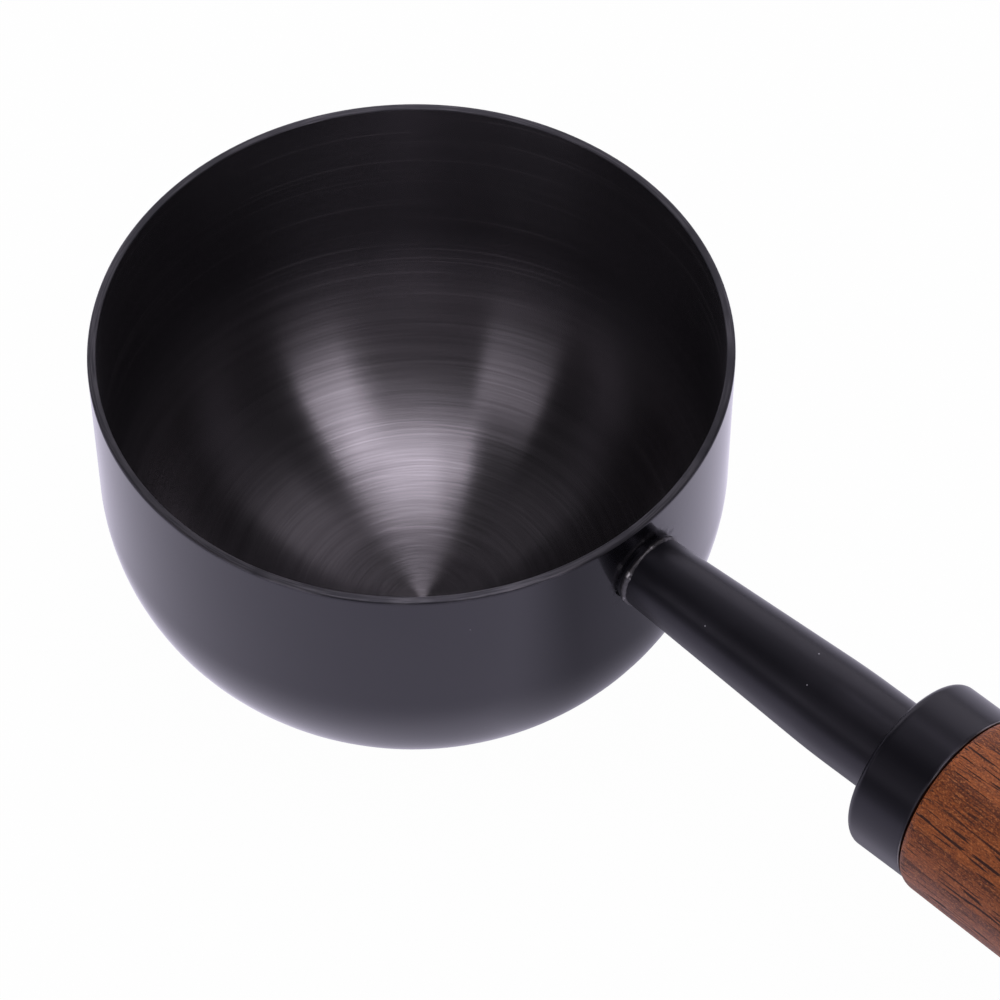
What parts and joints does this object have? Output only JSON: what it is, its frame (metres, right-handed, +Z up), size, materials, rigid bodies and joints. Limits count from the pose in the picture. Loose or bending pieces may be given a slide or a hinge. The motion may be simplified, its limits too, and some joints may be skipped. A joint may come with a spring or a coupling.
{
  "type": "coffee scoop",
  "caption": "Coffee scoop with a deep round-bottomed black steel bowl, a tapered neck welded to its wall, a steel collar and a turned wooden grip.",
  "frame": {"origin": "middle of the bowl's flat base", "axes": "+Z up along the bowl's axis, +X out along the handle, which leaves the bowl's wall square to it"},
  "size_m": [0.1694, 0.052, 0.0349],
  "materials": {
    "bowl_black": "black coated steel, brushed in circles inside, satin outside",
    "satin_black": "satin black coated steel",
    "weld_steel": "bare rippled weld metal",
    "bare_steel": "turned bare steel",
    "insert_brass": "turned brass",
    "grip_wood": "oiled reddish-brown hardwood with dark open pores along the grip"
  },
  "bodies": {
    "root": {"bowl": "bowl_black", "neck_weld": "weld_steel", "neck": "satin_black", "neck_plug": "bare_steel", "stud": "bare_steel", "collar": "satin_black", "grip_insert": "insert_brass", "grip": "grip_wood"}
  },
  "joints": []
}
